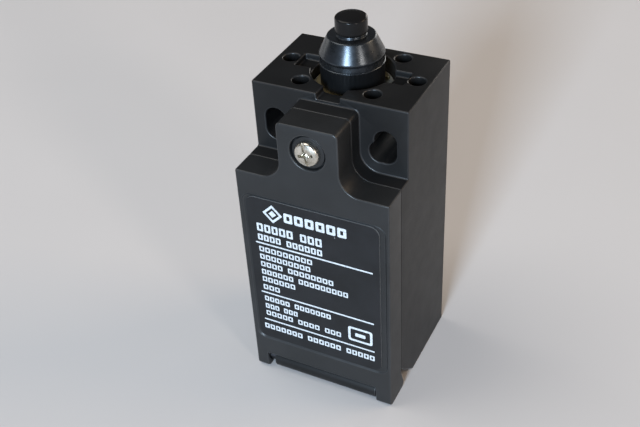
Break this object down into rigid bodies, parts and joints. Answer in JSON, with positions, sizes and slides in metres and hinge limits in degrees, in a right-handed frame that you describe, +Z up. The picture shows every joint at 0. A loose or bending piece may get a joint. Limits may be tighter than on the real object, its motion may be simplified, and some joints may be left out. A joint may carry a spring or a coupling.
{
  "type": "limit switch",
  "caption": "Narrow black limit switch with a rubber-sealed top plunger, a hinged front cover held by one screw, mounting slots through the head and a conduit entry in the base.",
  "frame": {"origin": "middle of the body's base, on the plane that the body stands on", "axes": "+Z up along the plunger, -Y towards the cover's front, +Y towards the mounting face, +X to the right of someone facing the cover"},
  "size_m": [0.031, 0.03, 0.0759],
  "materials": {
    "case_plastic": "satin black moulded plastic, finely textured",
    "cover_plastic": "satin black moulded plastic, finely textured",
    "label_film": "smooth black printed film",
    "seal_rubber": "grey seal rubber",
    "nickel_screw": "bright nickel plate",
    "steel": "zinc-plated steel",
    "washer_nylon": "black nylon",
    "black_steel": "blackened steel",
    "spring_steel": "bright spring wire",
    "brass": "machined brass",
    "terminal_brass": "stamped brass",
    "copper": "stamped copper alloy",
    "silver_alloy": "silver alloy contact",
    "knob_plastic": "smooth black plastic",
    "holder_plastic": "black plastic with fine vertical ribs",
    "boot_rubber": "smooth black rubber",
    "pale_seal": "cream seal ring",
    "block_plastic": "grey thermoset",
    "ivory_plastic": "ivory plastic"
  },
  "bodies": {
    "case": {"case": "case_plastic", "cover_insert": "brass", "hinge_pins": "black_steel", "plunger_holder": "holder_plastic", "retaining_clip": "brass", "holder_seal": "pale_seal", "plunger_spring": "spring_steel", "rubber_boot": "boot_rubber", "block_base": "block_plastic", "block_lid": "block_plastic", "block_screws": "steel", "carrier_spring": "spring_steel", "nc_terminals": "terminal_brass", "no_terminals": "terminal_brass", "fixed_tips": "silver_alloy", "terminal_screws": "steel", "clamp_plates": "steel"},
    "plunger": {"plunger_knob": "knob_plastic", "plunger_stem": "steel", "stem_clip": "steel"},
    "push_slider": {"push_slider": "ivory_plastic"},
    "contact_carrier": {"contact_carrier": "ivory_plastic", "nc_bridge": "copper", "no_bridge": "copper", "moving_tips": "silver_alloy", "bridge_springs": "spring_steel", "snap_spring": "spring_steel"},
    "cover": {"cover": "cover_plastic", "label_plate": "label_film", "cover_gasket": "seal_rubber"},
    "cover_washer": {"cover_washer": "washer_nylon"},
    "cover_screw": {"cover_screw": "nickel_screw"}
  },
  "joints": [
    {"name": "plunger_press", "type": "slide", "parent": "case", "child": "plunger", "axis": [0, 0, -1], "range_m": [0, 0.0045], "stiffness_N_per_m": 1000, "springref_m": -0.004, "deforming": ["rubber_boot", "plunger_spring"]},
    {"name": "slider_press", "type": "slide", "parent": "case", "child": "push_slider", "axis": [0, 0, -1], "range_m": [0, 0.0045]},
    {"name": "carrier_shift", "type": "slide", "parent": "push_slider", "child": "contact_carrier", "axis": [0, 0, 1], "range_m": [0, 0.0027], "deforming": ["snap_spring", "carrier_spring"]},
    {"name": "cover_hinge", "type": "hinge", "parent": "case", "child": "cover", "pos_m": [0, -0.01245, 0.00215], "axis": [1, 0, 0], "range_deg": [0, 90]},
    {"name": "washer_lift", "type": "slide", "parent": "cover", "child": "cover_washer", "axis": [0, -1, 0], "range_m": [0, 0.003]},
    {"name": "screw_turn", "type": "hinge", "parent": "cover_washer", "child": "cover_screw", "pos_m": [0, -0.0127, 0.05815], "axis": [0, -1, 0], "range_deg": [0, 2160]}
  ],
  "couplings": [
    {"joint": "slider_press", "follows": "plunger_press", "ratio": 1},
    {"joint": "carrier_shift", "follows": "plunger_press", "ratio": 0.6},
    {"joint": "screw_turn", "follows": "washer_lift", "rad_per_m": 12566}
  ]
}
